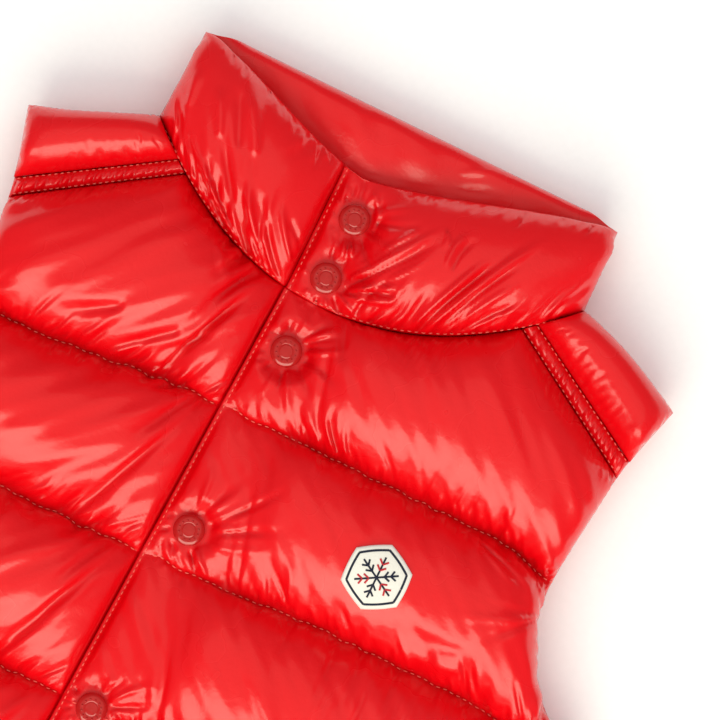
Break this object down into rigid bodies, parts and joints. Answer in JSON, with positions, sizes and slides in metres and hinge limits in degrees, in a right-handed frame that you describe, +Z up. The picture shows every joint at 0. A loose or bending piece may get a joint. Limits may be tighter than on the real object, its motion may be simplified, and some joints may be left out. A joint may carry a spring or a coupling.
{
  "type": "puffer vest laid flat",
  "caption": "Child's down-filled puffer vest with a snap front, stand collar and padded shoulder yokes, buttoned up and laid flat on its back.",
  "frame": {"origin": "on the surface that the vest lies on, under the middle of its outline", "axes": "+Z up from the surface through the back and then the fronts, +Y from the hem to the collar, +X towards the wearer's left"},
  "size_m": [0.3912, 0.5066, 0.04],
  "materials": {
    "shell": "glossy coated nylon, filled with down and quilted",
    "snap": "glossy enamel",
    "badge": "matte felt with stitched edge"
  },
  "bodies": {
    "root": {"back_panel": "shell", "front_panel_right": "shell", "front_panel_left": "shell", "collar": "shell", "shoulder_yoke_right": "shell", "shoulder_yoke_left": "shell", "shoulder_band_right": "shell", "shoulder_band_left": "shell", "snap_1": "snap", "snap_2": "snap", "snap_3": "snap", "snap_4": "snap", "snap_5": "snap", "snap_6": "snap", "snap_7": "snap", "badge": "badge"}
  },
  "joints": []
}
